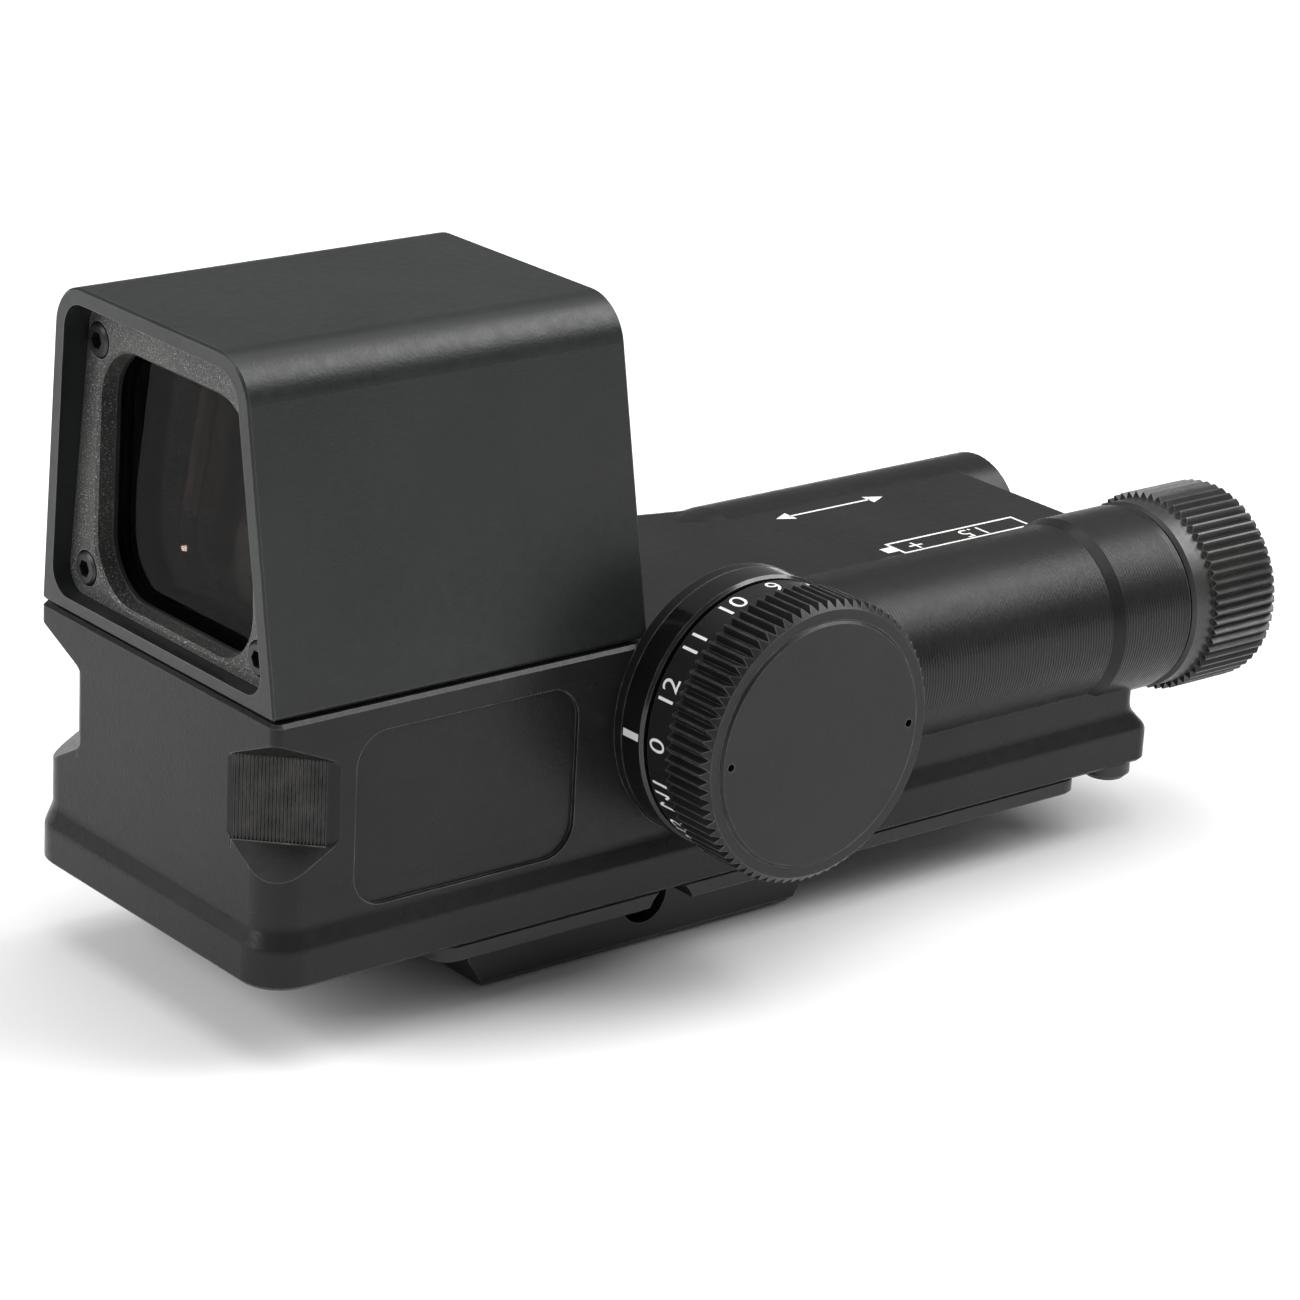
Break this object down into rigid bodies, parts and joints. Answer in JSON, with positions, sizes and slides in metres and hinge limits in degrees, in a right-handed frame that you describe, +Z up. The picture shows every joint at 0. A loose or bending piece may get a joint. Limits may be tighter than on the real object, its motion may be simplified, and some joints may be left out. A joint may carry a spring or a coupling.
{
  "type": "reflex sight",
  "caption": "Closed reflex sight with a square hood, a numbered brightness knob, a battery tube with knurled cap, and a quick-release rail clamp.",
  "frame": {"origin": "middle of the rail seat: the flat face under the clamp plate that rests on the rail's top, at the cross bolt", "axes": "+Z up, +Y towards the eye end with the battery cap, +X towards the brightness knob"},
  "size_m": [0.0659, 0.1357, 0.072],
  "materials": {
    "body": "satin black anodised",
    "hood": "satin black anodised",
    "frame": "bead-blasted black anodised",
    "cap": "black anodised",
    "knob": "black anodised",
    "steel": "bright steel",
    "black_steel": "blackened steel",
    "rubber": "matt black rubber",
    "coated_glass": "anti-reflection coated",
    "lens": "dichroic coated",
    "led": "clear red",
    "brass": "machined",
    "board": "green solder mask",
    "switch": "moulded",
    "battery": "printed sleeve, plain"
  },
  "bodies": {
    "sight": {"housing": "body", "clamp_base": "body", "clamp_bolt": "black_steel", "lever_pin": "steel", "jaw_springs": "steel", "base_screws": "black_steel", "foot_screws": "black_steel", "base_gasket": "rubber", "hood": "hood", "hood_gasket": "rubber", "hood_screws": "black_steel", "front_frame": "frame", "front_seal": "rubber", "front_glass": "coated_glass", "front_frame_screws": "steel", "rear_frame": "frame", "rear_seal": "rubber", "rear_glass": "coated_glass", "rear_frame_screws": "steel", "reflector_lens": "lens", "lens_cell": "frame", "circuit_board": "board", "board_screws": "steel", "rotary_switch": "switch", "index_ring": "knob", "detent_ball": "steel", "detent_spring": "steel", "knob_seal": "rubber", "battery": "battery", "front_contact": "brass"},
    "knob": {"brightness_knob": "knob", "knob_cover": "knob", "knob_shaft": "steel"},
    "cap_contact": {"cap_contact": "brass", "contact_spring": "steel"},
    "battery_cap": {"battery_cap": "cap", "cap_seal": "rubber"},
    "elevation_drum": {"rear_adjuster": "black_steel", "rear_adjuster_seal": "rubber"},
    "windage_drum": {"side_adjuster": "black_steel", "side_adjuster_seal": "rubber"},
    "elevation_block": {"emitter_block": "brass"},
    "emitter": {"emitter_carriage": "brass", "emitter_led": "led"},
    "lever": {"clamp_lever": "body"},
    "movable_jaw": {"movable_jaw": "body"}
  },
  "joints": [
    {"name": "knob_turn", "type": "hinge", "parent": "sight", "child": "knob", "pos_m": [0.03, 0.0056, 0.0219], "axis": [-1, 0, 0], "range_deg": [0, 337.5]},
    {"name": "cap_slide", "type": "slide", "parent": "sight", "child": "cap_contact", "axis": [0, 1, 0], "range_m": [0, 0.0101]},
    {"name": "cap_turn", "type": "hinge", "parent": "cap_contact", "child": "battery_cap", "pos_m": [0.0143, 0.075, 0.0194], "axis": [0, 1, 0], "range_deg": [0, 1800]},
    {"name": "elevation_turn", "type": "hinge", "parent": "sight", "child": "elevation_drum", "pos_m": [-0.01335, 0.065, 0.0205], "axis": [0, 1, 0], "range_deg": [-180, 180]},
    {"name": "elevation_slide", "type": "slide", "parent": "sight", "child": "elevation_block", "axis": [0, 0, 1], "range_m": [-0.00025, 0.00025]},
    {"name": "windage_turn", "type": "hinge", "parent": "sight", "child": "windage_drum", "pos_m": [-0.019, -0.018, 0.026], "axis": [-1, 0, 0], "range_deg": [-180, 180]},
    {"name": "windage_slide", "type": "slide", "parent": "elevation_block", "child": "emitter", "axis": [1, 0, 0], "range_m": [-0.00025, 0.00025]},
    {"name": "lever_open", "type": "hinge", "parent": "sight", "child": "lever", "pos_m": [-0.022, 0, -0.0045], "axis": [0, 0, 1], "range_deg": [0, 90]},
    {"name": "jaw_slide", "type": "slide", "parent": "sight", "child": "movable_jaw", "axis": [-1, 0, 0], "range_m": [0, 0.00161]}
  ],
  "couplings": [
    {"joint": "cap_slide", "follows": "cap_turn", "m_per_rad": 0.00031831},
    {"joint": "elevation_turn", "follows": "elevation_slide", "rad_per_m": 12566},
    {"joint": "windage_turn", "follows": "windage_slide", "rad_per_m": 12566},
    {"joint": "jaw_slide", "follows": "lever_open", "m_per_rad": 0.0010186}
  ]
}
